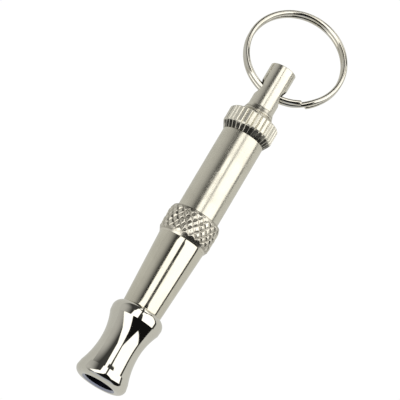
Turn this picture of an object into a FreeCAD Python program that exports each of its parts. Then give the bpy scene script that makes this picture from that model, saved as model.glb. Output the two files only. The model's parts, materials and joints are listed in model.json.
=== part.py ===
# Adjustable training whistle: two-part blowing end, knurled collar, resonator tube with a tuning piston on a
# screw, fluted lock nut and a split ring through the screw's eye.
# Frame: the whistle's axis is +X, the blowing end's mouth is at X = 0, and it lies on the XY directions, +Z up.
# Millimetres and degrees.
import FreeCAD, Part
import math
import os
import re
import Sketcher

DRIVING = {
    # mouthpiece, from the mouth towards the barrel
    "mouth_bore": 3.5,
    "mouth_bevel": 0.55,
    "mouth_bevel_length": 0.45,
    "mouth_depth": 5.0,
    "windpipe_radius": 2.6,
    "lip_radius": 6.06,
    "lip_round": 1.55,
    "lip_length": 2.9,
    "lip_fall": 0.25,
    "waist_place": 9.4,
    "waist_radius": 4.64,
    "shoulder_length": 3.1,
    "shoulder_radius": 6.07,
    "shoulder_rise": 0.1,
    "shoulder_land": 1.2,
    "mouthpiece_length": 18.7,
    "mouthpiece_foot_step": 0.15,
    # lower barrel, a hollow cone that holds the blowing pressure
    "barrel_length": 17.6,
    "barrel_foot_step": 0.46,
    "spigot_length": 6.0,
    "spigot_bore": 3.3,
    "spigot_wall": 0.8,
    "chamber_start": 1.5,
    "chamber_step": 0.6,
    "neck_wall": 0.41,
    "neck_step": 0.08,
    "tube_seat_depth": 0.7,
    # knurled collar over the joint of barrel and tube
    "collar_length": 6.8,
    "collar_wall": 0.77,
    "collar_lower_bevel": 0.75,
    "collar_lower_taper": 0.75,
    "collar_upper_bevel": 0.55,
    "collar_upper_taper": 0.55,
    "collar_lip": 0.8,
    # resonator tube with its sound window, and the plug that steers the air on to the window's lip
    "tube_wall": 0.8,
    "tube_length": 21.0,
    "tube_edge": 0.15,
    "window_gap": 0.5,
    "window_length": 3.0,
    "window_width": 5.0,
    "window_bevel": 2.4,
    "lip_edge": 0.05,
    "plug_inset": 1.0,
    "windway_height": 0.6,
    # threaded bush in the tube's top, tuning screw and lock nut
    "bush_length": 5.0,
    "bush_wall": 0.43,
    "thread_radius": 3.65,
    "nut_length": 5.3,
    "nut_overhang": 1.02,
    "nut_lower_bevel": 1.8,
    "nut_upper_bevel": 0.35,
    "flute_depth": 0.26,
    "flute_width": 0.42,
    "flute_count": 32,
    "washer_width": 0.8,
    "washer_thickness": 0.5,
    "thread_shows": 2.6,
    "thread_bevel": 0.45,
    "rod_step": 0.58,
    "rod_length": 10.7,
    "rod_bevel": 0.35,
    "eye_place": 4.5,
    # piston, its seal and its clip on the screw's lower journal
    "piston_reach": 3.6,
    "piston_length": 2.5,
    "journal_radius": 1.2,
    "seal_section": 0.5,
    "clip_thickness": 0.4,
    "clip_width": 1.25,
    "clip_groove_depth": 0.35,
    "journal_tail": 0.5,
    # split ring of two turns
    "ring_radius": 12.0,
    "wire_radius": 0.65,
    "coil_bite": 0.05,
    "ring_yaw": 4.8,
    "ring_slide": 0.3,
    # named clearances
    "press_gap": 0.02,
    "thread_gap": 0.05,
    "piston_gap": 0.05,
    "journal_gap": 0.04,
    "axial_gap": 0.05,
    "eye_gap": 0.44,
    "floor_gap": 0.02,
}

# radii and places along the axis that follow from the driving sizes, each from the piece it fits
DERIVED = {
    "shoulder_place": "mouthpiece_length - shoulder_length",
    "spigot_radius": "spigot_bore + spigot_wall",
    "barrel_foot_radius": "spigot_radius + barrel_foot_step",
    "mouthpiece_foot_radius": "barrel_foot_radius + mouthpiece_foot_step",
    "thread_hole": "thread_radius + thread_gap",
    "tube_bore": "thread_hole + bush_wall + press_gap",
    "tube_radius": "tube_bore + tube_wall",
    "chamber_radius": "tube_bore - chamber_step",
    "barrel_neck_radius": "tube_radius + press_gap + neck_wall",
    "barrel_head_radius": "barrel_neck_radius + neck_step",
    "collar_radius": "barrel_neck_radius + press_gap + collar_wall",
    "washer_radius": "thread_hole + washer_width",
    "nut_radius": "tube_radius + nut_overhang",
    "rod_radius": "thread_radius - rod_step",
    "barrel_end": "mouthpiece_length + barrel_length",
    "tube_start": "barrel_end + tube_seat_depth",
    "collar_end": "barrel_end + collar_length",
    "neck_end": "collar_end - collar_lip",
    "tube_end": "collar_end + tube_length",
    "window_start": "collar_end + window_gap",
    "window_end": "window_start + window_length",
    "plug_start": "tube_start + plug_inset",
    "bush_start": "tube_end - bush_length",
    "nut_end": "tube_end + nut_length",
    "thread_end": "nut_end + thread_shows",
    "rod_end": "thread_end + rod_length",
    "eye_centre": "thread_end + eye_place",
    "ring_pivot": "eye_centre - ring_slide",
    "piston_place": "window_end + piston_reach",
    "piston_end": "piston_place + piston_length",
    "thread_start": "piston_end + axial_gap",
    "clip_top": "piston_place - axial_gap",
    "clip_bottom": "clip_top - clip_thickness",
    "clip_groove_radius": "journal_radius - clip_groove_depth",
    "clip_radius": "clip_groove_radius + clip_width",
    "journal_start": "clip_bottom - journal_tail",
    "piston_radius": "tube_bore - piston_gap",
    "ring_mean_radius": "ring_radius - wire_radius",
    "coil_rise": "wire_radius - coil_bite",
    "bend_in_eye": "ring_mean_radius - sqrt(ring_mean_radius ^ 2 - rod_radius ^ 2)",
    "shift_in_eye": "bend_in_eye + rod_radius * tan(ring_yaw * 1 deg)",
    "eye_radius": "sqrt(shift_in_eye ^ 2 + coil_rise ^ 2) + wire_radius + eye_gap",
}

doc = FreeCAD.newDocument("training_whistle")
sheet = doc.addObject("Spreadsheet::Sheet", "sizes")
cells = list(DRIVING.items()) + [(name, "=" + formula) for name, formula in DERIVED.items()]
for row, (name, content) in enumerate(cells, start=1):
    sheet.set("A%d" % row, name)
    sheet.set("B%d" % row, str(content))
    sheet.setAlias("B%d" % row, name)
doc.recompute()
SCRATCH_CELL = "D1"


def bound(formula):
    """The formula with each size's name pointed at the spreadsheet."""
    names = {**DRIVING, **DERIVED}

    def point(match):
        word = match.group()
        return "sizes." + word if word in names else word

    return re.sub(r"[a-z_]+", point, formula)


def number(formula):
    """What the formula comes to with the sheet's present sizes."""
    sheet.set(SCRATCH_CELL, "=" + formula)
    sheet.recompute()
    return float(sheet.get(SCRATCH_CELL))


def make_body(label):
    body = doc.addObject("PartDesign::Body", label)
    body.Label = label
    return body


def make_sketch(body, name, role):
    """A sketch on one of the body's own origin planes."""
    sketch = body.newObject("Sketcher::SketchObject", name)
    plane = next(item for item in body.Origin.OriginFeatures if item.Role == role)
    sketch.AttachmentSupport = [(plane, "")]
    sketch.MapMode = "FlatFace"
    return sketch


def bind_last(sketch, formula):
    """Tie the sketch's newest constraint to the sheet."""
    sketch.setExpression("Constraints[%d]" % (sketch.ConstraintCount - 1), bound(formula))


def arc_edge(start, end, radius, side):
    """The short arc of a radius from start to end; side +1 puts its centre left of the way."""
    chord = end - start
    left = FreeCAD.Vector(-chord.y, chord.x, 0).normalize()
    rise = math.sqrt(radius ** 2 - (chord.Length / 2) ** 2)
    centre = (start + end) / 2 + left * rise * side
    first, last = (start, end) if side > 0 else (end, start)
    angles = [math.atan2(p.y - centre.y, p.x - centre.x) for p in (first, last)]
    if angles[1] < angles[0]:
        angles[1] += 2 * math.pi
    return Part.ArcOfCircle(Part.Circle(centre, FreeCAD.Vector(0, 0, 1), radius), *angles)


def draw_outline(sketch, corners, arcs=None):
    """Close the corners with straight edges, or with arcs where arcs gives {edge: (radius, side)}."""
    arcs = arcs or {}
    points = [FreeCAD.Vector(number(x), number(y), 0) for x, y in corners]
    ends = []
    for i, start in enumerate(points):
        end = points[(i + 1) % len(points)]
        if i in arcs:
            radius, side = arcs[i]
            edge = sketch.addGeometry(arc_edge(start, end, number(radius), side), False)
            ends.append((edge, 1, 2) if side > 0 else (edge, 2, 1))
        else:
            edge = sketch.addGeometry(Part.LineSegment(start, end), False)
            ends.append((edge, 1, 2))
    for i, (edge, first, last) in enumerate(ends):
        following, head, tail = ends[(i + 1) % len(ends)]
        sketch.addConstraint(Sketcher.Constraint("Coincident", edge, last, following, head))
    for (edge, first, last), point, (x, y) in zip(ends, points, corners):
        sketch.addConstraint(Sketcher.Constraint("DistanceX", -1, 1, edge, first, point.x))
        bind_last(sketch, x)
        sketch.addConstraint(Sketcher.Constraint("DistanceY", -1, 1, edge, first, point.y))
        bind_last(sketch, y)
    for i, (radius, side) in arcs.items():
        sketch.addConstraint(Sketcher.Constraint("Radius", ends[i][0], number(radius)))
        bind_last(sketch, radius)


def level_arc(length, rise):
    """The radius of an arc that is parallel to the axis at one end and climbs by rise over length."""
    return "((%s) ^ 2 + (%s) ^ 2) / (2 * (%s))" % (length, rise, rise)


def draw_circle(sketch, x, y, radius):
    """One full circle, centred and sized by formulas."""
    centre = FreeCAD.Vector(number(x), number(y), 0)
    axis = FreeCAD.Vector(0, 0, 1)
    edge = sketch.addGeometry(Part.Circle(centre, axis, number(radius)), False)
    sketch.addConstraint(Sketcher.Constraint("DistanceX", -1, 1, edge, 3, centre.x))
    bind_last(sketch, x)
    sketch.addConstraint(Sketcher.Constraint("DistanceY", -1, 1, edge, 3, centre.y))
    bind_last(sketch, y)
    sketch.addConstraint(Sketcher.Constraint("Radius", edge, number(radius)))
    bind_last(sketch, radius)


def turned(label, corners, arcs=None):
    """A lathe-turned piece: an outline of (place along the axis, radius) turned about X."""
    body = make_body(label)
    sketch = make_sketch(body, label + "_outline", "XZ_Plane")
    draw_outline(sketch, corners, arcs)
    turn = body.newObject("PartDesign::Revolution", label + "_turning")
    turn.Profile = sketch
    turn.ReferenceAxis = (sketch, ["H_Axis"])
    turn.Angle = 360
    doc.recompute()
    return body


def cut_through(body, name, role, draw):
    """Cut a sketch's shape right through the body, both ways from its plane."""
    before = body.Shape.Volume
    sketch = make_sketch(body, name + "_outline", role)
    draw(sketch)
    pocket = body.newObject("PartDesign::Pocket", name)
    pocket.Profile = sketch
    pocket.Type = "ThroughAll"
    pocket.Midplane = True
    doc.recompute()
    check_cut(body, name, before)
    return pocket


def check_cut(body, name, before):
    if body.Shape.Volume >= before - 1e-3:
        raise RuntimeError("%s cuts nothing from %s" % (name, body.Label))


def mouthpiece():
    """Blowing end: rounded lip, a waist for the teeth, a crisp-edged shoulder, and a socket for the barrel.

    The blowing hole is wide at the mouth and tapers to the windpipe.
    """
    foot = "mouthpiece_length - spigot_length"
    corners = [
        ("0", "mouth_bore + mouth_bevel"),
        ("0", "lip_radius - lip_round"),
        ("lip_round", "lip_radius"),
        ("lip_length", "lip_radius - lip_fall"),
        ("waist_place", "waist_radius"),
        ("shoulder_place", "shoulder_radius - shoulder_rise"),
        ("shoulder_place + shoulder_land", "shoulder_radius"),
        ("mouthpiece_length", "mouthpiece_foot_radius"),
        ("mouthpiece_length", "spigot_radius + press_gap"),
        (foot, "spigot_radius + press_gap"),
        (foot, "windpipe_radius"),
        ("mouth_depth + mouth_bore - windpipe_radius", "windpipe_radius"),
        ("mouth_depth", "mouth_bore"),
        ("mouth_bevel_length", "mouth_bore"),
    ]
    lip_flank = level_arc("waist_place - lip_length", "lip_radius - lip_fall - waist_radius")
    shoulder_flank = level_arc("shoulder_place - waist_place", "shoulder_radius - shoulder_rise - waist_radius")
    shoulder_round = level_arc("shoulder_length - shoulder_land", "shoulder_radius - mouthpiece_foot_radius")
    arcs = {1: ("lip_round", -1), 3: (lip_flank, 1), 4: (shoulder_flank, 1), 6: (shoulder_round, -1)}
    return turned("mouthpiece", corners, arcs)


def lower_barrel():
    """Hollow cone: a spigot in the mouthpiece, the wind chamber, and a neck that holds the tube."""
    chamber = "mouthpiece_length + chamber_start"
    corners = [
        ("mouthpiece_length - spigot_length", "spigot_bore"),
        ("mouthpiece_length - spigot_length", "spigot_radius"),
        ("mouthpiece_length", "spigot_radius"),
        ("mouthpiece_length", "barrel_foot_radius"),
        ("barrel_end", "barrel_head_radius"),
        ("barrel_end", "barrel_neck_radius"),
        ("neck_end", "barrel_neck_radius"),
        ("neck_end", "tube_radius + press_gap"),
        ("tube_start", "tube_radius + press_gap"),
        ("tube_start", "chamber_radius"),
        (chamber, "chamber_radius"),
        (chamber + " - (chamber_radius - spigot_bore)", "spigot_bore"),
    ]
    return turned("lower_barrel", corners)


def knurled_collar():
    """Grip ring pressed over the barrel's neck, with a lip that closes on the tube."""
    corners = [
        ("barrel_end", "barrel_neck_radius + press_gap"),
        ("barrel_end", "collar_radius - collar_lower_bevel"),
        ("barrel_end + collar_lower_taper", "collar_radius"),
        ("collar_end - collar_upper_taper", "collar_radius"),
        ("collar_end", "collar_radius - collar_upper_bevel"),
        ("collar_end", "tube_radius + press_gap"),
        ("neck_end", "tube_radius + press_gap"),
        ("neck_end", "barrel_neck_radius + press_gap"),
    ]
    return turned("knurled_collar", corners)


def upper_tube():
    """Resonator: a plain tube, with a sound window milled in its underside and a sloping lip above it."""
    corners = [
        ("tube_start", "tube_bore"),
        ("tube_start", "tube_radius"),
        ("tube_end - tube_edge", "tube_radius"),
        ("tube_end", "tube_radius - tube_edge"),
        ("tube_end", "tube_bore"),
    ]
    body = turned("upper_tube", corners)
    below = "-tube_radius - 1"
    inside = "-tube_bore * 0.7"
    side_view = [
        ("window_start", below),
        ("window_start", inside),
        ("window_end", inside),
        ("window_end", "-tube_bore - lip_edge"),
        ("window_end + window_bevel", below),
    ]
    before = body.Shape.Volume
    sketch = make_sketch(body, "sound_window_outline", "XZ_Plane")
    draw_outline(sketch, side_view)
    window = body.newObject("PartDesign::Pocket", "sound_window")
    window.Profile = sketch
    window.Midplane = True
    window.setExpression("Length", bound("window_width"))
    doc.recompute()
    check_cut(body, "sound_window", before)
    return body


def windway_plug():
    """Solid plug below the window, with one flat that leaves a slit for the air."""
    radius = "tube_bore - press_gap"
    corners = [
        ("plug_start", "0"),
        ("plug_start", radius),
        ("window_start", radius),
        ("window_start", "0"),
    ]
    body = turned("windway_plug", corners)
    low = "-tube_bore - 1"
    flat = "-(tube_bore - windway_height)"
    side_view = [
        ("plug_start - 1", low),
        ("window_start + 1", low),
        ("window_start + 1", flat),
        ("plug_start - 1", flat),
    ]
    cut_through(body, "windway_flat", "XZ_Plane", lambda sketch: draw_outline(sketch, side_view))
    return body


def thread_bush():
    """Threaded sleeve in the tube's top that guides the tuning screw; the thread is a plain bore here."""
    corners = [
        ("bush_start", "thread_hole"),
        ("bush_start", "tube_bore - press_gap"),
        ("tube_end", "tube_bore - press_gap"),
        ("tube_end", "thread_hole"),
    ]
    return turned("thread_bush", corners)


def tuning_screw():
    """Threaded stem with a journal for the piston below and a plain rod with a cross eye above."""
    corners = [
        ("journal_start", "0"),
        ("journal_start", "journal_radius"),
        ("clip_bottom", "journal_radius"),
        ("clip_bottom", "clip_groove_radius"),
        ("clip_top", "clip_groove_radius"),
        ("clip_top", "journal_radius"),
        ("thread_start", "journal_radius"),
        ("thread_start", "thread_radius - thread_bevel"),
        ("thread_start + thread_bevel", "thread_radius"),
        ("thread_end - thread_bevel", "thread_radius"),
        ("thread_end", "thread_radius - thread_bevel"),
        ("thread_end", "rod_radius"),
        ("rod_end - rod_bevel", "rod_radius"),
        ("rod_end", "rod_radius - rod_bevel"),
        ("rod_end", "0"),
    ]
    body = turned("tuning_screw", corners)
    cut_through(
        body, "ring_eye", "XZ_Plane", lambda sketch: draw_circle(sketch, "eye_centre", "0", "eye_radius")
    )
    return body


def piston():
    """Sliding end wall of the resonator, with a groove for its seal; it doesn't turn with the screw."""
    middle = "(piston_place + piston_end) / 2"
    groove_half = " (seal_section + journal_gap)"
    groove_floor = "piston_radius - 2 * seal_section - journal_gap + piston_gap / 2"
    corners = [
        ("piston_place", "journal_radius + journal_gap"),
        ("piston_place", "piston_radius"),
        (middle + " -" + groove_half, "piston_radius"),
        (middle + " -" + groove_half, groove_floor),
        (middle + " +" + groove_half, groove_floor),
        (middle + " +" + groove_half, "piston_radius"),
        ("piston_end", "piston_radius"),
        ("piston_end", "journal_radius + journal_gap"),
    ]
    return turned("piston", corners)


def piston_seal():
    """Rubber ring in the piston's groove, a hair clear of the tube's bore."""
    body = make_body("piston_seal")
    sketch = make_sketch(body, "seal_outline", "XZ_Plane")
    centre_radius = "piston_radius - seal_section + piston_gap / 2"
    draw_circle(sketch, "(piston_place + piston_end) / 2", centre_radius, "seal_section")
    turn = body.newObject("PartDesign::Revolution", "seal_turning")
    turn.Profile = sketch
    turn.ReferenceAxis = (sketch, ["H_Axis"])
    turn.Angle = 360
    doc.recompute()
    return body


def piston_clip():
    """Snap ring in the journal's groove that keeps the piston on the screw."""
    inner = "clip_groove_radius + press_gap"
    corners = [
        ("clip_bottom + press_gap", inner),
        ("clip_bottom + press_gap", "clip_radius"),
        ("clip_top - press_gap", "clip_radius"),
        ("clip_top - press_gap", inner),
    ]
    body = turned("piston_clip", corners)
    half_slot = "(clip_groove_radius * 0.8)"
    slot = [
        ("0", "-" + half_slot),
        ("clip_radius + 1", "-" + half_slot),
        ("clip_radius + 1", half_slot),
        ("0", half_slot),
    ]
    before = body.Shape.Volume
    sketch = make_sketch(body, "clip_slot_outline", "YZ_Plane")
    draw_outline(sketch, slot)
    pocket = body.newObject("PartDesign::Pocket", "clip_slot")
    pocket.Profile = sketch
    pocket.Type = "ThroughAll"
    pocket.Reversed = True
    doc.recompute()
    check_cut(body, "clip_slot", before)
    return body


def lock_nut():
    """Fluted round nut that locks the screw against the tube's top, with a recess for its washer."""
    corners = [
        ("tube_end", "washer_radius + journal_gap"),
        ("tube_end", "tube_radius + thread_gap"),
        ("tube_end + nut_lower_bevel", "nut_radius"),
        ("nut_end - nut_upper_bevel", "nut_radius"),
        ("nut_end", "nut_radius - nut_upper_bevel"),
        ("nut_end", "thread_hole"),
        ("tube_end + washer_thickness", "thread_hole"),
        ("tube_end + washer_thickness", "washer_radius + journal_gap"),
    ]
    body = turned("lock_nut", corners)
    before = body.Shape.Volume
    sketch = make_sketch(body, "flute_outline", "YZ_Plane")
    half = "flute_width / 2"
    flute = [
        ("0", "nut_radius - flute_depth"),
        (half, "nut_radius + 0.01"),
        (half, "nut_radius + 1"),
        ("-" + half, "nut_radius + 1"),
        ("-" + half, "nut_radius + 0.01"),
    ]
    draw_outline(sketch, flute)
    groove = body.newObject("PartDesign::Pocket", "flute")
    groove.Profile = sketch
    groove.Type = "ThroughAll"
    groove.Reversed = True
    doc.recompute()
    check_cut(body, "flute", before)
    pattern = body.newObject("PartDesign::PolarPattern", "flutes")
    pattern.Originals = [groove]
    pattern.Axis = (sketch, ["N_Axis"])
    pattern.Angle = 360
    pattern.setExpression("Occurrences", bound("flute_count"))
    body.Tip = pattern
    doc.recompute()
    return body


def lock_washer():
    """Thin flat washer in the nut's recess; it rides up with the nut but doesn't turn with it."""
    corners = [
        ("tube_end", "thread_hole"),
        ("tube_end", "washer_radius"),
        ("tube_end + washer_thickness - press_gap", "washer_radius"),
        ("tube_end + washer_thickness - press_gap", "thread_hole"),
    ]
    return turned("lock_washer", corners)


def split_ring():
    """Two touching turns of round wire, lying from the eye down to the surface the whistle lies on."""
    body = make_body("split_ring")
    sketch = make_sketch(body, "wire_outline", "XZ_Plane")
    neck = "sqrt(wire_radius ^ 2 - coil_rise ^ 2)"
    corners = [
        ("ring_mean_radius + " + neck, "0"),
        ("ring_mean_radius", "coil_rise + wire_radius"),
        ("ring_mean_radius - " + neck, "0"),
        ("ring_mean_radius", "-(coil_rise + wire_radius)"),
    ]
    draw_outline(sketch, corners, {edge: ("wire_radius", 1) for edge in range(4)})
    turn = body.newObject("PartDesign::Revolution", "ring_turning")
    turn.Profile = sketch
    turn.ReferenceAxis = (sketch, ["V_Axis"])
    turn.Angle = 360
    doc.recompute()
    mean_radius = number("ring_mean_radius")
    drop = ring_drop(mean_radius)
    yaw = math.radians(number("ring_yaw"))
    pitch = FreeCAD.Rotation(FreeCAD.Vector(0, 1, 0), math.degrees(drop))
    eye = FreeCAD.Vector(number("ring_pivot"), 0, 0)
    from_eye = FreeCAD.Vector(math.cos(yaw), -math.sin(yaw), 0) * mean_radius
    body.Placement = FreeCAD.Placement(eye + pitch.multVec(from_eye), pitch)
    print("split ring lies %.3f degrees below the axis" % math.degrees(drop))
    return body


def ring_drop(mean_radius):
    """The pitch at which the ring's far side just clears the surface under the widest rim.

    reach * sin(pitch) + rise * cos(pitch) = fall, which has one answer in closed form.
    """
    rise = number("coil_rise")
    fall = number("max(collar_radius; lip_radius; shoulder_radius) - wire_radius - floor_gap")
    reach = 2 * mean_radius
    return math.asin(fall / math.hypot(reach, rise)) - math.atan2(rise, reach)


def check_document():
    """Stop before anything is written if an object failed to build."""
    doc.recompute()
    for item in doc.Objects:
        if "Invalid" in item.State or "Error" in item.State:
            raise RuntimeError("%s is in state %s" % (item.Name, item.State))


def export(pieces):
    os.makedirs("parts", exist_ok=True)
    for piece in pieces:
        shape = piece.Shape
        if shape.isNull() or not shape.isValid() or not shape.Solids:
            raise RuntimeError("%s has no valid solid" % piece.Label)
    for piece in pieces:
        piece.Shape.exportStep("parts/%s.step" % piece.Label)
        print("%-16s %9.3f mm3" % (piece.Label, piece.Shape.Volume))


pieces = [
    mouthpiece(),
    lower_barrel(),
    knurled_collar(),
    upper_tube(),
    windway_plug(),
    thread_bush(),
    tuning_screw(),
    piston(),
    piston_seal(),
    piston_clip(),
    lock_nut(),
    lock_washer(),
    split_ring(),
]
check_document()
export(pieces)
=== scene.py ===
import bpy
import json
import math
import numpy as np
from mathutils import Matrix, Vector


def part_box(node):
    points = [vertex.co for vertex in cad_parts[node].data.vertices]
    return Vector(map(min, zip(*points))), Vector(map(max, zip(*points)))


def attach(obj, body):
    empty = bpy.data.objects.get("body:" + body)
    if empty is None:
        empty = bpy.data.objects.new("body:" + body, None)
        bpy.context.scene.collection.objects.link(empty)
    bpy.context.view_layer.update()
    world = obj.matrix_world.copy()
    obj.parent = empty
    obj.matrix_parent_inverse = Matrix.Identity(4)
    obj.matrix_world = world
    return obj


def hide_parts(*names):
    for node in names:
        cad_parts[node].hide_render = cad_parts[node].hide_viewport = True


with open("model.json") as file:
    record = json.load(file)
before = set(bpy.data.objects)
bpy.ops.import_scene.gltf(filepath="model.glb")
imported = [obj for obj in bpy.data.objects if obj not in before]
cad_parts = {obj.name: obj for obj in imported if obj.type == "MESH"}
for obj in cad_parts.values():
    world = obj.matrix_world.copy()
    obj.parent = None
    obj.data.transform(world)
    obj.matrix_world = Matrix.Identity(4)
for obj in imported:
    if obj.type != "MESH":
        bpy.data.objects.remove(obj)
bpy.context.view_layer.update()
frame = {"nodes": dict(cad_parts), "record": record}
mm = 0.001
joints = {joint["name"]: joint for joint in frame["record"]["behaviour"]["joints"]}


# lowest and highest corner of a CAD node, in millimetres
def span(node):
    low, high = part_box(node)
    return Vector(low) / mm, Vector(high) / mm


mouthLow, mouthHigh = span("mouthpiece")
barrelLow, barrelHigh = span("lower_barrel")
collarLow, collarHigh = span("knurled_collar")
tubeLow, tubeHigh = span("upper_tube")
nutLow, nutHigh = span("lock_nut")
screwLow, screwHigh = span("tuning_screw")
ringHigh = span("split_ring")[1]
eyePlace = joints["ring_swing"]["pos_m"][0] / mm
floorHeight = -collarHigh.z
print("frame loaded, the whistle lies from x = %.1f to %.1f mm" % (mouthLow.x, ringHigh.x))


# each corner (along, radius, rounding) becomes the arc of its rounding that touches both edges there:
# it starts rounding / tan(half the corner's angle) from the corner
def roundedOutline(corners, steps=6):
    sharp = np.array([corner[:2] for corner in corners], float)
    parts = []
    for i, (along, radius, rounding) in enumerate(corners):
        here = sharp[i]
        back, ahead = sharp[i - 1] - here, sharp[(i + 1) % len(corners)] - here
        backLength, aheadLength = np.linalg.norm(back), np.linalg.norm(ahead)
        back, ahead = back / backLength, ahead / aheadLength
        half = 0.5 * math.acos(float(np.clip(back @ ahead, -1, 1)))
        if rounding <= 0 or half > math.pi / 2 - 0.02:
            parts.append(here[None])
            continue
        reach = min(rounding / math.tan(half), 0.49 * backLength, 0.49 * aheadLength)
        middle = (back + ahead) / np.linalg.norm(back + ahead)
        centre = here + middle * reach / math.cos(half)
        start = here + back * reach - centre
        turning = np.sign(ahead[0] * back[1] - ahead[1] * back[0])
        angle = np.linspace(0, math.pi - 2 * half, steps)[:, None] * turning
        parts.append(centre + np.hstack([
            start[0] * np.cos(angle) - start[1] * np.sin(angle),
            start[0] * np.sin(angle) + start[1] * np.cos(angle),
        ]))
    return np.vstack(parts)


# the arc that is parallel to the axis at the level point and ends at the far point:
# radius = level + or - (R - sqrt(R^2 - run^2)), with R = (length^2 + rise^2) / (2 rise)
def levelArc(level, far, steps):
    length, rise = abs(far[0] - level[0]), far[1] - level[1]
    bend = (length ** 2 + rise ** 2) / (2 * abs(rise))
    along = np.linspace(level[0], far[0], steps)
    radius = level[1] + math.copysign(1, rise) * (bend - np.sqrt(bend ** 2 - (along - level[0]) ** 2))
    return [(float(a), float(r), 0) for a, r in zip(along, radius)]


# extra points on every edge longer than the step, so that a pattern has rows to stand on
def divided(outline, step, low, high):
    parts = []
    for start, end in zip(outline, np.roll(outline, -1, 0)):
        count = 1
        if low - 1e-6 <= min(start[0], end[0]) and max(start[0], end[0]) <= high + 1e-6:
            count = max(1, int(math.ceil(np.linalg.norm(end - start) / step)))
        share = np.linspace(0, 1, count, endpoint=False)[:, None]
        parts.append(start * (1 - share) + end * share)
    return np.vstack(parts)


# points are rows x columns x 3; neighbours are joined by quads, and a cap is a fan to the row's middle
def gridMesh(name, points, closedRows, caps=False):
    rows, columns = points.shape[:2]
    index = np.arange(rows * columns).reshape(rows, columns)
    following = np.roll(index, -1, 0) if closedRows else index[1:]
    here = index if closedRows else index[:-1]
    quads = np.stack([here, np.roll(here, -1, 1), np.roll(following, -1, 1), following], -1)
    vertices = points.reshape(-1, 3)
    faces = quads.reshape(-1, 4).tolist()
    for row, flip in ((0, True), (rows - 1, False)) if caps else ():
        fan = np.stack([index[row], np.roll(index[row], -1), np.full(columns, len(vertices))], -1)
        vertices = np.vstack([vertices, points[row].mean(0)])
        faces += (fan[:, ::-1] if flip else fan).tolist()
    mesh = bpy.data.meshes.new(name)
    mesh.from_pydata((vertices * mm).tolist(), [], faces)
    mesh.validate()
    return mesh


# the signed volume is a sixth of the sum of a . (b x c) over the triangles; below zero, every face is flipped
def pointOutwards(mesh):
    mesh.calc_loop_triangles()
    corners = np.zeros(len(mesh.loop_triangles) * 3, np.int32)
    mesh.loop_triangles.foreach_get("vertices", corners)
    places = np.zeros(len(mesh.vertices) * 3, np.float32)
    mesh.vertices.foreach_get("co", places)
    a, b, c = places.reshape(-1, 3).astype(float)[corners.reshape(-1, 3)].transpose(1, 0, 2)
    if np.einsum("ij,ij->i", a, np.cross(b, c)).sum() < 0:
        mesh.flip_normals()


# turn an outline about X: (along, radius) goes to (along, radius cos t, radius sin t);
# shape(along, t, radius) gives a pattern's radius
def turnedMesh(name, outline, turns, shape=None, closedRows=True):
    if not isinstance(turns, np.ndarray):
        turns = np.linspace(0, 2 * math.pi, turns, endpoint=False)
    along, turn = np.meshgrid(outline[:, 0], turns, indexing="ij")
    radius = np.repeat(outline[:, 1:], len(turns), 1)
    if shape is not None:
        radius = shape(along, turn, radius)
    points = np.stack([along, radius * np.cos(turn), radius * np.sin(turn)], -1)
    return gridMesh(name, points, closedRows, caps=not closedRows)


# cut one closed mesh out of another and keep the result as a plain mesh
def carve(mesh, cutter):
    pair = [bpy.data.objects.new("carving", item) for item in (mesh, cutter)]
    for item in pair:
        pointOutwards(item.data)
        bpy.context.scene.collection.objects.link(item)
    cut = pair[0].modifiers.new("cut", "BOOLEAN")
    cut.object, cut.operation, cut.solver = pair[1], "DIFFERENCE", "EXACT"
    view = bpy.context.evaluated_depsgraph_get()
    result = bpy.data.meshes.new_from_object(pair[0].evaluated_get(view), depsgraph=view)
    for item in pair:
        bpy.data.objects.remove(item)
    return result


def addPiece(name, mesh, material, body, node, sharpAngle=30):
    pointOutwards(mesh)
    mesh.shade_smooth()
    mesh.set_sharp_from_angle(angle=math.radians(sharpAngle))
    mesh.name = name
    mesh.materials.clear()
    mesh.materials.append(material)
    piece = bpy.data.objects.new(name, mesh)
    bpy.context.scene.collection.objects.link(piece)
    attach(piece, body)
    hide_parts(node)
    print("%s: %d faces" % (name, len(mesh.polygons)))
    return piece


# one shader node; each value is a socket to link or a plain setting for the input of that name or number
def addNode(tree, kind, values=None, **settings):
    node = tree.nodes.new(kind)
    for name, setting in settings.items():
        setattr(node, name, setting)
    for name, value in (values or {}).items():
        socket = node.inputs[name]
        if isinstance(value, bpy.types.NodeSocket):
            tree.links.new(value, socket)
        else:
            socket.default_value = value
    return node


def blendOf(tree, share, low, high):
    mix = addNode(tree, "ShaderNodeMix", {0: share, 6: low, 7: high}, data_type="RGBA")
    return mix.outputs[2]


def rangeOf(tree, value, fromLow, fromHigh, toLow=0.0, toHigh=1.0, smooth=True):
    values = {"Value": value, "From Min": fromLow, "From Max": fromHigh, "To Min": toLow, "To Max": toHigh}
    kind = "SMOOTHSTEP" if smooth else "LINEAR"
    return addNode(tree, "ShaderNodeMapRange", values, interpolation_type=kind).outputs["Result"]


def mathOf(tree, operation, first, second=0.0):
    return addNode(tree, "ShaderNodeMath", {0: first, 1: second}, operation=operation).outputs[0]


def newGroup(name, inputs, outputs):
    group = bpy.data.node_groups.new(name, "ShaderNodeTree")
    for label, kind, value in inputs:
        socket = group.interface.new_socket(label, in_out="INPUT", socket_type=kind)
        if value is not None:
            socket.default_value = value
    for label, kind in outputs:
        group.interface.new_socket(label, in_out="OUTPUT", socket_type=kind)
    return group, group.nodes.new("NodeGroupInput").outputs, group.nodes.new("NodeGroupOutput").inputs


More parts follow.
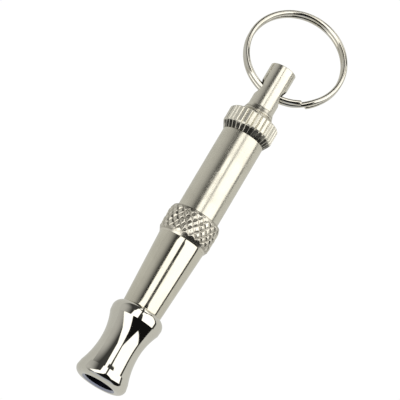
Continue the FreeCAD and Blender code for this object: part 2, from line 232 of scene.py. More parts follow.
# fine rings left by the lathe: noise that changes along the axis and hardly around it
def makeTurnedGrain():
    group, given, result = newGroup(
        "turnedGrain",
        [("Place", "NodeSocketVector", None), ("Rings Per Metre", "NodeSocketFloat", 4000.0)],
        [("Height", "NodeSocketFloat"), ("Patch", "NodeSocketFloat")],
    )
    stretch = addNode(group, "ShaderNodeCombineXYZ", {"X": given["Rings Per Metre"], "Y": 60.0, "Z": 60.0})
    place = addNode(
        group, "ShaderNodeVectorMath", {0: given["Place"], 1: stretch.outputs[0]}, operation="MULTIPLY"
    )
    fine = addNode(group, "ShaderNodeTexNoise", {"Vector": place.outputs[0], "Scale": 1.0, "Detail": 4.0})
    slow = addNode(group, "ShaderNodeTexNoise", {"Vector": given["Place"], "Scale": 420.0, "Detail": 3.0})
    group.links.new(fine.outputs["Fac"], result["Height"])
    group.links.new(slow.outputs["Fac"], result["Patch"])
    return group


# marks of use: long hairlines in two directions, a few small dents, and smears that change the gloss
def makeHandling():
    group, given, result = newGroup(
        "handling",
        [("Place", "NodeSocketVector", None), ("Scale", "NodeSocketFloat", 1.0)],
        [("Hairlines", "NodeSocketFloat"), ("Dents", "NodeSocketFloat"), ("Smears", "NodeSocketFloat")],
    )
    scaled = addNode(group, "ShaderNodeVectorMath", {0: given["Place"], 3: given["Scale"]}, operation="SCALE")
    lines = []
    for turn, stretch in (((0.4, 0.2, 0.3), (60, 2600, 2600)), ((0.1, 0.9, 1.2), (2400, 90, 2400))):
        mapping = addNode(
            group, "ShaderNodeMapping", {"Vector": scaled.outputs[0], "Rotation": turn, "Scale": stretch}
        )
        noise = addNode(
            group, "ShaderNodeTexNoise", {"Vector": mapping.outputs[0], "Scale": 1.0, "Detail": 1.0}
        )
        lines.append(rangeOf(group, noise.outputs["Fac"], 0.66, 0.74))
    dents = addNode(
        group, "ShaderNodeTexVoronoi", {"Vector": scaled.outputs[0], "Scale": 330.0, "Randomness": 1.0}
    )
    smears = addNode(
        group, "ShaderNodeTexNoise",
        {"Vector": scaled.outputs[0], "Scale": 160.0, "Detail": 5.0, "Distortion": 1.2},
    )
    group.links.new(mathOf(group, "MAXIMUM", lines[0], lines[1]), result["Hairlines"])
    group.links.new(rangeOf(group, dents.outputs["Distance"], 0.16, 0.02), result["Dents"])
    group.links.new(smears.outputs["Fac"], result["Smears"])
    return group


turnedGrain = makeTurnedGrain()
handling = makeHandling()


def addGroup(tree, group, values):
    node = tree.nodes.new("ShaderNodeGroup")
    node.node_tree = group
    for name, value in values.items():
        if isinstance(value, bpy.types.NodeSocket):
            tree.links.new(value, node.inputs[name])
        else:
            node.inputs[name].default_value = value
    return node.outputs


# a plated or bare metal: colour, gloss and relief come from the two groups, and from the depth attribute
# where the piece has grooves, which darkens the colour there: dirt and painted shade, and on the nut a
# painted dark reflection
def makeMetal(name, look):
    material = bpy.data.materials.new(name)
    material.use_nodes = True
    tree = material.node_tree
    shader = tree.nodes["Principled BSDF"]
    shader.inputs["Metallic"].default_value = 1.0
    place = addNode(tree, "ShaderNodeTexCoord").outputs["Object"]
    grain = addGroup(tree, turnedGrain, {"Place": place, "Rings Per Metre": look["rings"]})
    marks = addGroup(tree, handling, {"Place": place, "Scale": look["markScale"]})
    smear = rangeOf(tree, marks["Smears"], 0.35, 0.7)
    colour = blendOf(tree, smear, (*look["colour"], 1), (*look["worn"], 1))
    rough = mathOf(tree, "MULTIPLY_ADD", smear, look["smearGloss"])
    rough.node.inputs[2].default_value = look["roughness"]
    lineGloss = mathOf(tree, "MULTIPLY", marks["Hairlines"], look["hairGloss"])
    ringGloss = mathOf(tree, "MULTIPLY", grain["Height"], look["ringGloss"])
    rough = mathOf(tree, "ADD", mathOf(tree, "ADD", rough, lineGloss), ringGloss)
    # the depth attribute paints a darker colour: dirt and painted shade in grooves, a painted dark reflection
    # on the nut's bevel
    if look.get("dirtAndShade"):
        depth = addNode(tree, "ShaderNodeAttribute", attribute_name="grooveDepth").outputs["Fac"]
        patchy = rangeOf(tree, grain["Patch"], 0.30, 0.52, look["dirtAndShadePatches"], 1.0)
        dirtAndShade = mathOf(tree, "MULTIPLY", rangeOf(tree, depth, 0.3, 1.0), look["dirtAndShade"])
        dirtAndShade = mathOf(tree, "MULTIPLY", dirtAndShade, patchy)
        colour = blendOf(tree, dirtAndShade, colour, (*look["dirtAndShadeColour"], 1))
        rough = mathOf(tree, "MAXIMUM", rough, mathOf(tree, "MULTIPLY", dirtAndShade, 0.55))
    tree.links.new(colour, shader.inputs["Base Color"])
    tree.links.new(rough, shader.inputs["Roughness"])
    ringHeight = mathOf(tree, "MULTIPLY", grain["Height"], look["ringDepth"])
    cuts = mathOf(tree, "MULTIPLY", marks["Hairlines"], -look["hairDepth"])
    dents = mathOf(tree, "MULTIPLY", marks["Dents"], -look["dentDepth"])
    height = mathOf(tree, "ADD", mathOf(tree, "ADD", ringHeight, cuts), dents)
    bump = addNode(tree, "ShaderNodeBump", {"Height": height, "Distance": 1e-6, "Strength": 1.0})
    tree.links.new(bump.outputs["Normal"], shader.inputs["Normal"])
    return material


# depths are in thousandths of a millimetre
metalLooks = {
    "brightChrome": dict(
        colour=(0.76, 0.745, 0.675), worn=(0.72, 0.70, 0.63),
        roughness=0.035, smearGloss=0.03, hairGloss=0.05, ringGloss=0.0,
        rings=1500.0, ringDepth=0.25, markScale=1.0, hairDepth=0.6, dentDepth=0.0,
    ),
    # painted shade: near-black navy for the deep inside of the mouthpiece's bore
    "boreInsidePaintedShade": dict(
        colour=(0.020, 0.021, 0.034), worn=(0.012, 0.012, 0.018),
        roughness=0.45, smearGloss=0.2, hairGloss=0.1, ringGloss=0.0,
        rings=3000.0, ringDepth=2.0, markScale=1.5, hairDepth=0.5, dentDepth=0.0,
    ),
    # painted shade: a dark brown for the wall of the screw's eye
    "eyeInsidePaintedShade": dict(
        colour=(0.07, 0.063, 0.052), worn=(0.035, 0.031, 0.026),
        roughness=0.4, smearGloss=0.2, hairGloss=0.1, ringGloss=0.0,
        rings=3000.0, ringDepth=1.0, markScale=2.0, hairDepth=1.0, dentDepth=0.0,
    ),
    # painted reflection: a darker bluish grey for the bevel round the mouth
    "boreRimPaintedReflection": dict(
        colour=(0.42, 0.44, 0.53), worn=(0.36, 0.38, 0.47),
        roughness=0.2, smearGloss=0.1, hairGloss=0.05, ringGloss=0.0,
        rings=3000.0, ringDepth=0.5, markScale=1.0, hairDepth=0.6, dentDepth=0.0,
    ),
    "barrelNickel": dict(
        colour=(0.745, 0.72, 0.62), worn=(0.70, 0.675, 0.58),
        roughness=0.07, smearGloss=0.05, hairGloss=0.08, ringGloss=0.03,
        rings=5200.0, ringDepth=0.5, markScale=1.0, hairDepth=1.0, dentDepth=0.0,
    ),
    "tubeNickel": dict(
        colour=(0.75, 0.725, 0.63), worn=(0.70, 0.675, 0.585),
        roughness=0.19, smearGloss=0.06, hairGloss=0.10, ringGloss=0.05,
        rings=6000.0, ringDepth=0.6, markScale=0.9, hairDepth=1.4, dentDepth=5.0,
    ),
    "knurlNickel": dict(
        colour=(0.82, 0.79, 0.70), worn=(0.74, 0.71, 0.62),
        roughness=0.20, smearGloss=0.10, hairGloss=0.1, ringGloss=0.0,
        rings=3000.0, ringDepth=0.4, markScale=1.6, hairDepth=2.0, dentDepth=10.0,
        dirtAndShade=0.5, dirtAndShadeColour=(0.15, 0.13, 0.10), dirtAndShadePatches=0.4,
    ),
    # the nut is painted near-black in its flute floors as painted shade, and on its lower bevel as a painted
    # dark reflection
    "nutNickel": dict(
        colour=(0.84, 0.815, 0.72), worn=(0.79, 0.765, 0.67),
        roughness=0.30, smearGloss=0.08, hairGloss=0.10, ringGloss=0.05,
        rings=5000.0, ringDepth=0.8, markScale=1.3, hairDepth=1.4, dentDepth=5.0,
        dirtAndShade=0.96, dirtAndShadeColour=(0.022, 0.020, 0.018), dirtAndShadePatches=0.25,
    ),
    "screwNickel": dict(
        colour=(0.79, 0.765, 0.675), worn=(0.74, 0.715, 0.63),
        roughness=0.19, smearGloss=0.06, hairGloss=0.08, ringGloss=0.04,
        rings=6000.0, ringDepth=0.6, markScale=1.1, hairDepth=1.2, dentDepth=4.0,
        dirtAndShade=0.55, dirtAndShadeColour=(0.26, 0.23, 0.17), dirtAndShadePatches=0.8,
    ),
    "ringNickel": dict(
        colour=(0.75, 0.73, 0.66), worn=(0.68, 0.65, 0.56),
        roughness=0.07, smearGloss=0.07, hairGloss=0.10, ringGloss=0.0,
        rings=1200.0, ringDepth=0.3, markScale=1.4, hairDepth=1.2, dentDepth=3.0,
    ),
    "bareBrass": dict(
        colour=(0.72, 0.50, 0.21), worn=(0.48, 0.32, 0.14),
        roughness=0.22, smearGloss=0.16, hairGloss=0.10, ringGloss=0.08,
        rings=4500.0, ringDepth=1.6, markScale=1.5, hairDepth=1.5, dentDepth=4.0,
    ),
    "springSteel": dict(
        colour=(0.42, 0.40, 0.38), worn=(0.30, 0.27, 0.24),
        roughness=0.26, smearGloss=0.14, hairGloss=0.10, ringGloss=0.05,
        rings=3500.0, ringDepth=0.8, markScale=2.0, hairDepth=1.2, dentDepth=4.0,
    ),
}
metals = {name: makeMetal(name, look) for name, look in metalLooks.items()}


# black seal rubber: dull, slightly grey where it has been rubbed, with a moulded grain
def makeSealRubber():
    look = dict(black=(0.012, 0.012, 0.013, 1), rubbed=(0.045, 0.043, 0.042, 1), grain=9000.0, depth=2e-6)
    material = bpy.data.materials.new("sealRubber")
    material.use_nodes = True
    tree = material.node_tree
    shader = tree.nodes["Principled BSDF"]
    place = addNode(tree, "ShaderNodeTexCoord").outputs["Object"]
    marks = addGroup(tree, handling, {"Place": place, "Scale": 2.0})
    rubbed = rangeOf(tree, marks["Smears"], 0.4, 0.75)
    tree.links.new(blendOf(tree, rubbed, look["black"], look["rubbed"]), shader.inputs["Base Color"])
    tree.links.new(rangeOf(tree, rubbed, 0, 1, 0.42, 0.62), shader.inputs["Roughness"])
    grain = addNode(tree, "ShaderNodeTexNoise", {"Vector": place, "Scale": look["grain"], "Detail": 2.0})
    bump = addNode(tree, "ShaderNodeBump", {"Height": grain.outputs["Fac"], "Distance": look["depth"]})
    tree.links.new(bump.outputs["Normal"], shader.inputs["Normal"])
    return material


nodeMaterials = {
    "windway_plug": metals["bareBrass"],
    "thread_bush": metals["bareBrass"],
    "piston": metals["bareBrass"],
    "piston_clip": metals["springSteel"],
    "lock_washer": metals["springSteel"],
    "piston_seal": makeSealRubber(),
}
for node, material in nodeMaterials.items():
    for slot in frame["nodes"][node].material_slots:
        slot.material = material
print("materials made: %d metals and the seal's rubber" % len(metals))


# mouthpiece, sizes in millimetres from the mouth at x = 0
def makeMouthpiece():
    size = dict(
        bore=3.5, bevel=0.55, bevelLength=0.45, lipRadius=6.06, lipRound=1.55, lipLength=2.9, lipFall=0.25,
        waistPlace=9.4, waistRadius=4.64, shoulderPlace=15.6, shoulderRise=0.1, shoulderLand=1.2,
        footRadius=4.71, socketRadius=4.12, socketPlace=12.7, windpipe=2.6, mouthDepth=5.0,
        bandRound=0.18, flankRound=0.13, mouthRound=0.12, boreRound=0.2, boreShadeEdge=0.02, rimEdge=0.03,
    )
    end, shoulder = mouthHigh.x, mouthHigh.z
    bandEnd = (size["lipLength"], size["lipRadius"] - size["lipFall"])
    waist = (size["waistPlace"], size["waistRadius"])
    flankEnd = (size["shoulderPlace"], shoulder - size["shoulderRise"])
    landEnd = (size["shoulderPlace"] + size["shoulderLand"], shoulder)
    lipCentre = (size["lipRound"], size["lipRadius"] - size["lipRound"])
    lip = [
        (lipCentre[0] - size["lipRound"] * math.cos(a), lipCentre[1] + size["lipRound"] * math.sin(a), 0)
        for a in np.linspace(0, math.pi / 2, 20)
    ]
    corners = [(0, size["bore"] + size["bevel"], size["mouthRound"])] + lip
    corners += [(*bandEnd, size["bandRound"])] + levelArc(waist, bandEnd, 40)[::-1][1:]
    corners += levelArc(waist, flankEnd, 34)[1:-1] + [(*flankEnd, size["flankRound"])]
    corners += levelArc(landEnd, (end, size["footRadius"]), 18)[:-1] + [(end, size["footRadius"], 0.06)]
    corners += [
        (end, size["socketRadius"], 0.05),
        (size["socketPlace"], size["socketRadius"], 0),
        (size["socketPlace"], size["windpipe"], 0.1),
        (size["mouthDepth"] + size["bore"] - size["windpipe"], size["windpipe"], size["boreRound"]),
        (size["mouthDepth"], size["bore"], size["boreRound"]),
        (size["bevelLength"], size["bore"], 0.15),
    ]
    mesh = turnedMesh("mouthpiece_chrome", roundedOutline(corners), 256)
    piece = addPiece(
        "mouthpiece_chrome", mesh, metals["brightChrome"], "whistle_body", "mouthpiece", 24
    )
    # the plating stops a little way into the bore; past it the bore is painted near-black navy as painted
    # shade of the deep hole, and the bevel round the mouth is painted bluish grey as a painted reflection
    middles = faceMiddles(mesh)
    radius = np.hypot(middles[:, 1], middles[:, 2])
    inside = (radius < size["bore"] + size["boreShadeEdge"]) & (middles[:, 0] > size["bevelLength"])
    rim = radius < size["bore"] + size["bevel"] - size["rimEdge"]
    rim &= middles[:, 0] <= size["bevelLength"]
    mesh.materials.append(metals["boreInsidePaintedShade"])
    mesh.materials.append(metals["boreRimPaintedReflection"])
    mesh.polygons.foreach_set("material_index", (inside * 1 + rim * 2).astype(np.int32))
    return piece


# lower barrel: a cone with a spigot below and a thin neck above
def makeBarrel():
    size = dict(
        spigotBore=3.3, spigotWall=0.8, foot=4.56, head=5.46, neck=5.38, seat=4.97, edge=0.05,
        chamber=3.55, chamberStart=1.5, chamberTaper=0.25, chamberRound=0.1, rowStep=1.2, columns=224,
    )
    start, end = mouthHigh.x, collarLow.x
    spigot = size["spigotBore"] + size["spigotWall"]
    corners = [
        (barrelLow.x, size["spigotBore"], 0),
        (barrelLow.x, spigot, 0),
        (start, spigot, 0),
        (start, size["foot"], size["edge"]),
        (end, size["head"], size["edge"]),
        (end, size["neck"], 0),
        (barrelHigh.x, size["neck"], 0),
        (barrelHigh.x, size["seat"], 0),
        (tubeLow.x, size["seat"], 0),
        (tubeLow.x, size["chamber"], 0),
        (start + size["chamberStart"], size["chamber"], size["chamberRound"]),
        (start + size["chamberStart"] - size["chamberTaper"], size["spigotBore"], size["chamberRound"]),
    ]
    outline = divided(roundedOutline(corners), size["rowStep"], start, end)
    mesh = turnedMesh("barrel_cone", outline, size["columns"])
    return addPiece(
        "barrel_cone", mesh, metals["barrelNickel"], "whistle_body", "lower_barrel", 24
    )


# collar: two families of crossing helical V grooves leave worn diamonds;
# the radius is the rim less depth times 1 - min(1, sharpness * the nearer groove's distance)
def makeCollar():
    size = dict(
        lowerBevel=0.72, lowerTaper=1.5, upperBevel=0.42, upperTaper=1.2, lip=0.8, bore=5.4, seat=4.97,
        around=21, axialPitch=2.05, depth=0.34, sharpness=1.5, unevenness=0.14, rowStep=0.075,
        columnsPerTooth=26, plainRim=0.42, edgeRound=0.08, taperRound=0.6, dicedRows=64,
        wanders=((0.05, 3, 1.7), (0.04, 7, -0.9)), crown=0.12, crownStart=0.8,
    )
    low, high, rim = collarLow.x, collarHigh.x, collarHigh.z
    corners = [
        (low, size["bore"], 0),
        (low, rim - size["lowerBevel"], size["edgeRound"]),
        (low + size["lowerTaper"], rim, size["taperRound"]),
        (high - size["upperTaper"], rim, size["taperRound"]),
        (high, rim - size["upperBevel"], size["edgeRound"]),
        (high, size["seat"], 0),
        (high - size["lip"], size["seat"], 0),
        (high - size["lip"], size["bore"], 0),
    ]
    outline = divided(roundedOutline(corners), size["rowStep"], low, high)
    dice = np.random.default_rng(7)
    wear = dice.random((size["around"], size["dicedRows"]))
    depths = []

    def knurl(along, turn, radius):
        # a slow wander of the grooves, as a knurling wheel leaves when it skips
        wander = sum(much * np.sin(waves * turn + lean * along) for much, waves, lean in size["wanders"])
        left = size["around"] * turn / (2 * math.pi) + (along - low) / size["axialPitch"] + wander
        right = size["around"] * turn / (2 * math.pi) - (along - low) / size["axialPitch"] + wander
        nearer = np.minimum(1 - np.abs(2 * (left % 1) - 1), 1 - np.abs(2 * (right % 1) - 1))
        cell = wear[
            np.floor(left).astype(int) % size["around"], np.floor(right).astype(int) % size["dicedRows"]
        ]
        height = np.minimum(1, size["sharpness"] * nearer)
        height = height - size["crown"] * np.clip(height - size["crownStart"], 0, 1) ** 0.5
        cut = size["depth"] * (1 - height) + size["unevenness"] * cell * np.clip(height * 1.5 - 0.5, 0, 1)
        outside = (radius > rim - size["lowerBevel"] - 0.05) & (along > low + size["plainRim"])
        carved = np.where(outside, np.minimum(radius, rim - cut), radius)
        depths.append(np.where(outside, np.clip((rim - carved) / size["depth"], 0, 1) * (height < 0.9), 0))
        return carved

    mesh = turnedMesh("collar_knurl", outline, size["around"] * size["columnsPerTooth"], knurl)
    storeDepth(mesh, depths[0])
    return addPiece(
        "collar_knurl", mesh, metals["knurlNickel"], "whistle_body", "knurled_collar", 50
    )


def faceMiddles(mesh):
    middles = np.zeros(len(mesh.polygons) * 3, np.float32)
    mesh.polygons.foreach_get("center", middles)
    return middles.reshape(-1, 3) / mm


# how deep in a groove each point is, 0 to 1 (on the nut also its lower bevel), which the metals paint darker:
# dirt and painted shade
def storeDepth(mesh, depths):
    values = np.zeros(len(mesh.vertices), np.float32)
    values[:depths.size] = depths.ravel()
    mesh.attributes.new("grooveDepth", "FLOAT", "POINT").data.foreach_set("value", values)


# upper tube with the sound window in its underside
def makeTube():
    size = dict(
        wall=0.8, edge=0.15, windowStart=43.6, windowEnd=46.6, windowWidth=5.0, windowBevel=2.4, lipEdge=0.05,
        windowFloor=0.7, rowStep=0.9, columns=224,
    )
    low, high, outer = tubeLow.x, tubeHigh.x, tubeHigh.z
    bore = outer - size["wall"]
    corners = [
        (low, bore, 0),
        (low, outer, 0),
        (high, outer, size["edge"]),
        (high, bore, 0.03),
    ]
    outline = divided(roundedOutline(corners), size["rowStep"], low, high)
    mesh = turnedMesh("tube_resonator", outline, size["columns"])
    below = -outer - 1
    sideView = [
        (size["windowStart"], below),
        (size["windowStart"], -size["windowFloor"] * bore),
        (size["windowEnd"], -size["windowFloor"] * bore),
        (size["windowEnd"], -bore - size["lipEdge"]),
        (size["windowEnd"] + size["windowBevel"], below),
    ]
    half = size["windowWidth"] / 2
    vertices = [(x * mm, side * half * mm, z * mm) for side in (-1, 1) for x, z in sideView]
    count = len(sideView)
    faces = [list(range(count)), list(range(2 * count - 1, count - 1, -1))]
    faces += [[i, (i + 1) % count, count + (i + 1) % count, count + i] for i in range(count)]
    cutter = bpy.data.meshes.new("window_cutter")
    cutter.from_pydata(vertices, [], faces)
    return addPiece(
        "tube_resonator", carve(mesh, cutter), metals["tubeNickel"], "whistle_body", "upper_tube",
        24,
    )


# lock nut: a round nut whose V flutes are cut at equal steps and run out on the bevels;
# the radius is the lesser of the outline and rim - depth * (1 - distance from the flute / its half width)
def makeNut():
    size = dict(
        lowerBevel=1.8, upperBevel=0.35, overhang=1.02, recess=4.54, thread=3.7, recessDepth=0.5,
        flutes=32, fluteDepth=0.27, fluteWidth=0.46, paintedDarkReach=1.6, paintedDarkFade=0.25, paintedDarkGap=0.4, paintedFluteShade=0.62,
        boreBevel=0.12, footGap=0.05, rowStep=0.16, fluteShare=1.25,
    )
    low, high, rim = nutLow.x, nutHigh.x, tubeHigh.z + size["overhang"]
    corners = [
        (low, size["recess"], 0),
        (low, tubeHigh.z + size["footGap"], 0.08),
        (low + size["lowerBevel"], rim, 0.1),
        (high - size["upperBevel"], rim, 0.08),
        (high, rim - size["upperBevel"], 0.05),
        (high, size["thread"] + size["boreBevel"], 0.05),
        (high - size["boreBevel"], size["thread"], 0),
        (low + size["recessDepth"], size["thread"], 0),
        (low + size["recessDepth"], size["recess"], 0),
    ]
    outline = divided(roundedOutline(corners), size["rowStep"], low, high)
    half = size["fluteWidth"] / 2 / rim
    pitch = 2 * math.pi / size["flutes"]
    wide = half * size["fluteShare"]
    across = np.concatenate([np.linspace(-wide, wide, 13), np.linspace(wide, pitch - wide, 5)[1:-1]])
    turns = (np.arange(size["flutes"])[:, None] * pitch + across[None]).ravel()
    depths = []

    def flute(along, turn, radius):
        off = np.abs((turn + pitch / 2) % pitch - pitch / 2)
        cut = size["fluteDepth"] * np.clip(1 - off / half, 0, 1)
        outside = radius > tubeHigh.z
        carved = np.where(outside, np.minimum(radius, rim - cut), radius)
        # the flute floors are painted darker as painted shade; the lower bevel, away from each flute's
        # middle, is painted near-black as a painted dark reflection
        floor = np.where(outside & (carved < radius - 1e-5), cut / size["fluteDepth"] * size["paintedFluteShade"], 0)
        bevel = outside * np.clip((low + size["paintedDarkReach"] - along) / size["paintedDarkFade"], 0, 1)
        bevel = bevel * (off > half * size["paintedDarkGap"])
        depths.append(np.maximum(floor, bevel))
        return carved

    mesh = turnedMesh("nut_fluted", outline, turns, flute)
    storeDepth(mesh, depths[0])
    return addPiece("nut_fluted", mesh, metals["nutNickel"], "nut", "lock_nut", 30)


# tuning screw: the thread is a helix, its depth following a V of along / pitch - turn / (2 pi);
# the eye is cut by a tube that flares where it meets the rod's round surface
def makeScrew():
    size = dict(
        journal=1.2, groove=0.85, thread=3.65, threadStart=52.75, threadEnd=72.0, threadBevel=0.45,
        pitch=0.75, threadDepth=0.17, rod=3.07, rodBevel=0.14, eye=1.96, eyeShift=0.3, eyeEdge=0.12,
        clipBottom=49.75, clipTop=50.15, fade=0.8, runOut=1.5, neckStep=0.12, neckLength=0.15, core=0.02,
        threadRow=0.055, rodRow=0.4, columns=144,
    )
    corners = [
        (screwLow.x, size["core"], 0),
        (screwLow.x, size["journal"], 0.1),
        (size["clipBottom"], size["journal"], 0),
        (size["clipBottom"], size["groove"], 0),
        (size["clipTop"], size["groove"], 0),
        (size["clipTop"], size["journal"], 0),
        (size["threadStart"], size["journal"], 0),
        (size["threadStart"], size["thread"] - size["threadBevel"], 0),
        (size["threadStart"] + size["threadBevel"], size["thread"], 0),
        (size["threadEnd"] - size["runOut"], size["thread"], 0.3),
        (size["threadEnd"] - size["neckLength"], size["rod"] + size["neckStep"], 0.1),
        (size["threadEnd"], size["rod"], 0.1),
        (screwHigh.x - size["rodBevel"], size["rod"], 0.08),
        (screwHigh.x, size["rod"] - size["rodBevel"], 0.08),
        (screwHigh.x, size["core"], 0),
    ]
    outline = roundedOutline(corners)
    outline = divided(outline, size["threadRow"], size["threadStart"], size["threadEnd"] - 0.1)
    outline = divided(outline, size["rodRow"], size["threadEnd"], screwHigh.x)
    depths = []

    def thread(along, turn, radius):
        wave = (along / size["pitch"] - turn / (2 * math.pi)) % 1
        vee = np.clip(1.25 - 2.5 * np.abs(wave - 0.5), 0, 1)
        vee = vee * np.clip((size["threadEnd"] - 0.1 - along) / size["fade"], 0, 1)
        outside = (radius > size["rod"] + 0.05) & (along < size["threadEnd"] - 0.02)
        carved = np.where(outside, np.minimum(radius, size["thread"] - size["threadDepth"] * vee), radius)
        depths.append(np.where(outside, vee, 0))
        return carved

    mesh = turnedMesh("screw_turned", outline, size["columns"], thread, closedRows=False)
    storeDepth(mesh, depths[0])
    turn = np.linspace(0, 2 * math.pi, 128, endpoint=False)
    edge = size["eyeEdge"]
    depth = np.array([-1.5, -edge, -0.6 * edge, -0.2 * edge, 0.3 * edge, 1.5])
    wide = size["eye"] + np.array([0, 0, 0.12, 0.42, 0.95, 1.6]) * edge
    surface = np.sqrt(size["rod"] ** 2 - (size["eye"] * np.sin(turn)) ** 2)
    across = surface[None] + depth[:, None]
    eyeMiddle = eyePlace + size["eyeShift"]
    side = np.stack([eyeMiddle + wide[:, None] * np.cos(turn), across, wide[:, None] * np.sin(turn)], -1)
    otherSide = side[::-1] * np.array([1, -1, 1])
    cutter = gridMesh("eye_cutter", np.concatenate([otherSide, side]), False, caps=True)
    piece = addPiece(
        "screw_turned", carve(mesh, cutter), metals["screwNickel"], "screw", "tuning_screw",
        40,
    )
    # the eye's wall is painted dark as painted shade inside the hole
    middles = faceMiddles(piece.data)
    inEye = np.hypot(middles[:, 0] - eyeMiddle, middles[:, 2]) < size["eye"] + 0.2 * edge
    piece.data.materials.append(metals["eyeInsidePaintedShade"])
    piece.data.polygons.foreach_set("material_index", inEye.astype(np.int32))
    return piece


# split ring: the wire's middle runs a circle of two turns less a small gap; its height above the ring's
# plane is +rise in the first turn, falls by a smooth step as it crosses between the two ends, and is -rise
# in the second; the crossing wire pushes each end away from it
def makeRing():
    size = dict(
        meanRadius=11.35, wire=0.625, rise=0.615, gap=7.0, crossing=36.0, start=212.5,
        innerPush=0.2, outerPush=0.46, pushReach=24.0, steps=640, around=28, endRound=0.2,
        yaw=4.8, cadRise=0.6, cadWire=0.65, floorGap=0.02,
    )
    reach = 2 * size["meanRadius"]
    fall = collarHigh.z - size["cadWire"] - size["floorGap"]
    drop = math.asin(fall / math.hypot(reach, size["cadRise"])) - math.atan2(size["cadRise"], reach)
    pitch = np.array([[math.cos(drop), 0, math.sin(drop)], [0, 1, 0], [-math.sin(drop), 0, math.cos(drop)]])
    yaw = math.radians(size["yaw"])
    middle = np.array([eyePlace, 0, 0]) + pitch @ (
        np.array([math.cos(yaw), -math.sin(yaw), 0]) * size["meanRadius"]
    )
    total = 720 - size["gap"]
    endArc = math.degrees(size["endRound"] / size["meanRadius"]) * np.array([0.0, 0.08, 0.25, 0.5, 0.75])
    angle = np.concatenate([endArc, np.linspace(0, total, size["steps"])[2:-2], total - endArc[::-1]])
    fromEnd = np.minimum(angle, total - angle)
    push = np.where(angle < total / 2, size["innerPush"], -size["outerPush"])
    share = np.clip((angle - total / 2) / size["crossing"] + 0.5, 0, 1)
    near = np.clip(1 - fromEnd / size["pushReach"], 0, 1)
    height = size["rise"] * (1 - 2 * (3 * share ** 2 - 2 * share ** 3))
    height = height + push * (3 * near ** 2 - 2 * near ** 3)
    # each end is eased over with a quarter round
    lack = np.clip(size["endRound"] - np.radians(fromEnd) * size["meanRadius"], 0, None)
    wire = size["wire"] - size["endRound"] + np.sqrt(size["endRound"] ** 2 - lack ** 2 + 1e-9)
    turn = np.radians(size["start"] - angle)
    outward = np.stack([np.cos(turn), np.sin(turn), 0 * turn], -1)
    upward = np.array([0, 0, 1.0])
    line = outward * size["meanRadius"] + height[:, None] * upward
    section = np.linspace(0, 2 * math.pi, size["around"], endpoint=False)[None, :, None]
    circle = np.cos(section) * outward[:, None] + np.sin(section) * upward
    points = line[:, None] + wire[:, None, None] * circle
    mesh = gridMesh("ring_coil", points @ pitch.T + middle, False, caps=True)
    return addPiece("ring_coil", mesh, metals["ringNickel"], "ring", "split_ring", 50)


makeMouthpiece()
makeBarrel()
makeCollar()
makeTube()
makeNut()
makeScrew()
makeRing()


# a white floor as the camera sees it; what the metal mirrors is the same floor painted light grey, a painted
# shade of the floor round the piece
def makeFloor():
    look = dict(
        size=3000.0, paintedShadePlusY=0.60, paintedShadeMinusY=0.68, reach=0.03, green=0.995, blue=0.95,
        seen=(1.02, 1.02, 1.02, 1),
    )
    half = look["size"] / 2 * mm
    height = (floorHeight - 0.01) * mm
    corners = [(-half, -half, height), (half, -half, height), (half, half, height), (-half, half, height)]
    mesh = bpy.data.meshes.new("studio_floor")
    mesh.from_pydata(corners, [], [(0, 1, 2, 3)])
    floor = bpy.data.objects.new("studio_floor", mesh)
    bpy.context.scene.collection.objects.link(floor)
    material = bpy.data.materials.new("floorWhiteAndPaintedShade")
    material.use_nodes = True
    tree = material.node_tree
    tree.nodes.remove(tree.nodes["Principled BSDF"])
    place = addNode(tree, "ShaderNodeSeparateXYZ", {0: addNode(tree, "ShaderNodeTexCoord").outputs["Object"]})
    # painted shade: the floor as the metal mirrors it is grey, darker on the +Y side
    paintedShadeGrey = rangeOf(tree, place.outputs["Y"], look["reach"], -look["reach"], look["paintedShadePlusY"], look["paintedShadeMinusY"])
    green, blue = (mathOf(tree, "MULTIPLY", paintedShadeGrey, look[share]) for share in ("green", "blue"))
    warm = addNode(tree, "ShaderNodeCombineColor", {"Red": paintedShadeGrey, "Green": green, "Blue": blue})
    paintedShadeMirror = addNode(tree, "ShaderNodeEmission", {"Color": warm.outputs[0]})
    seen = addNode(tree, "ShaderNodeEmission", {"Color": look["seen"]})
    direct = addNode(tree, "ShaderNodeLightPath").outputs["Is Camera Ray"]
    mix = addNode(tree, "ShaderNodeMixShader", {0: direct, 1: paintedShadeMirror.outputs[0], 2: seen.outputs[0]})
    tree.links.new(mix.outputs[0], tree.nodes["Material Output"].inputs["Surface"])
    mesh.materials.append(material)


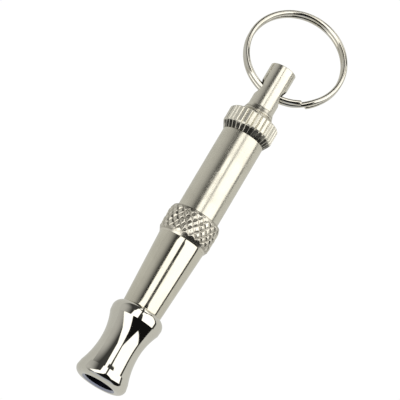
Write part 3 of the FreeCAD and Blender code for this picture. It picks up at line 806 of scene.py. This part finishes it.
# studio light: two soft boxes in an otherwise dim room, each the part of the sky inside its edges;
# an edge is a plane through the middle, given by the direction that points into the box
def makeLight():
    look = dict(
        boxLight=1.62, boxTint=(1.0, 0.985, 0.95), wallTint=(1.0, 0.99, 0.95), frontTint=(0.86, 0.90, 1.0),
        softness=0.018, dimFront=0.008, dimBack=0.055, leftGlow=0.56, frontGlow=0.62,
        # the overhead box reaches as far as any of the first three edges, and no further than the others
        overheadReach=((-0.05, -0.933, 0.356), (-0.563, -0.709, 0.425), (-0.787, -0.556, 0.267)),
        overheadEdges=((0.210, 0.977, 0.024), (0.56, 0.823, 0.098), (0.011, 0.996, 0.075), (0.5, 0, 0.86)),
        sideEdges=(
            (0.613, -0.702, -0.304), (-0.1, -0.985, -0.160), (0.8995, 0.1126, 0.4225), (0, 0.173, 0.985),
        ),
    )
    world = bpy.data.worlds.new("studio")
    bpy.context.scene.world = world
    world.use_nodes = True
    tree = world.node_tree
    direction = addNode(tree, "ShaderNodeTexCoord").outputs["Generated"]
    parts = addNode(tree, "ShaderNodeSeparateXYZ", {0: direction}).outputs

    def inside(edge):
        length = math.sqrt(sum(e * e for e in edge))
        unit = [e / length for e in edge]
        dot = addNode(tree, "ShaderNodeVectorMath", {0: direction, 1: unit}, operation="DOT_PRODUCT")
        return rangeOf(tree, dot.outputs["Value"], -look["softness"], look["softness"])

    def allOf(*masks):
        total = masks[0]
        for mask in masks[1:]:
            total = mathOf(tree, "MULTIPLY", total, mask)
        return total

    def anyOf(*masks):
        total = masks[0]
        for mask in masks[1:]:
            total = mathOf(tree, "MAXIMUM", total, mask)
        return total

    def scaledTint(tint, strength):
        return addNode(tree, "ShaderNodeVectorMath", {0: tint, 3: strength}, operation="SCALE").outputs[0]

    # beyond the ring the gap between the boxes opens, and a dark bar crosses them
    openGap = allOf(
        rangeOf(tree, parts["X"], 0.70, 0.74),
        rangeOf(tree, parts["X"], 0.90, 0.86),
        rangeOf(tree, parts["Y"], 0.05, 0.02),
        rangeOf(tree, parts["Y"], -0.40, -0.36),
    )
    bar = allOf(rangeOf(tree, parts["X"], 0.80, 0.82), rangeOf(tree, parts["X"], 0.90, 0.87))
    clear = mathOf(tree, "SUBTRACT", 1.0, anyOf(openGap, bar))
    reach = anyOf(*[inside(edge) for edge in look["overheadReach"]])
    overheadBox = allOf(reach, *[inside(edge) for edge in look["overheadEdges"]], clear)
    sideBox = allOf(*[inside(edge) for edge in look["sideEdges"]], clear)
    boxes = mathOf(tree, "MULTIPLY", anyOf(overheadBox, sideBox), look["boxLight"])
    # the wall on the left gets some light, more of it lower down; a window lights the room low in front
    left = mathOf(tree, "MULTIPLY", rangeOf(tree, parts["Y"], 0.46, 1.0), look["leftGlow"])
    dim = rangeOf(tree, parts["X"], -0.1, 0.25, look["dimFront"], look["dimBack"])
    front = allOf(rangeOf(tree, parts["X"], -0.74, -0.84), rangeOf(tree, parts["Z"], 0.50, 0.34))
    front = mathOf(tree, "MULTIPLY", front, look["frontGlow"])
    light = addNode(tree, "ShaderNodeVectorMath", {
        0: scaledTint(look["boxTint"], boxes), 1: scaledTint(look["wallTint"], anyOf(left, dim)),
    }, operation="MAXIMUM")
    light = addNode(tree, "ShaderNodeVectorMath", {
        0: light.outputs[0], 1: scaledTint(look["frontTint"], front),
    }, operation="MAXIMUM")
    tree.links.new(light.outputs[0], tree.nodes["Background"].inputs["Color"])


def makeCamera():
    view = dict(
        elevation=74.5, roll=30.7, distance=650.0, lens=266.0, sensor=36.0, target=(47.0, 1.3, 0.0),
        clip=(0.01, 20.0),
    )
    lift, roll = math.radians(view["elevation"]), math.radians(view["roll"])
    forward = Vector((math.cos(lift), 0, -math.sin(lift)))
    above = Vector((math.sin(lift), 0, math.cos(lift)))
    right = Vector((0, -1, 0))
    up = above * math.cos(roll) - right * math.sin(roll)
    across = right * math.cos(roll) + above * math.sin(roll)
    data = bpy.data.cameras.new("camera")
    data.lens, data.sensor_width = view["lens"], view["sensor"]
    data.clip_start, data.clip_end = view["clip"]
    camera = bpy.data.objects.new("camera", data)
    bpy.context.scene.collection.objects.link(camera)
    turn = Matrix((across, up, -forward)).transposed().to_4x4()
    place = (Vector(view["target"]) - forward * view["distance"]) * mm
    camera.matrix_world = Matrix.Translation(place) @ turn
    bpy.context.scene.camera = camera


makeFloor()
makeLight()
makeCamera()
bpy.context.scene.view_settings.view_transform = "Standard"
print("floor, light and camera set")
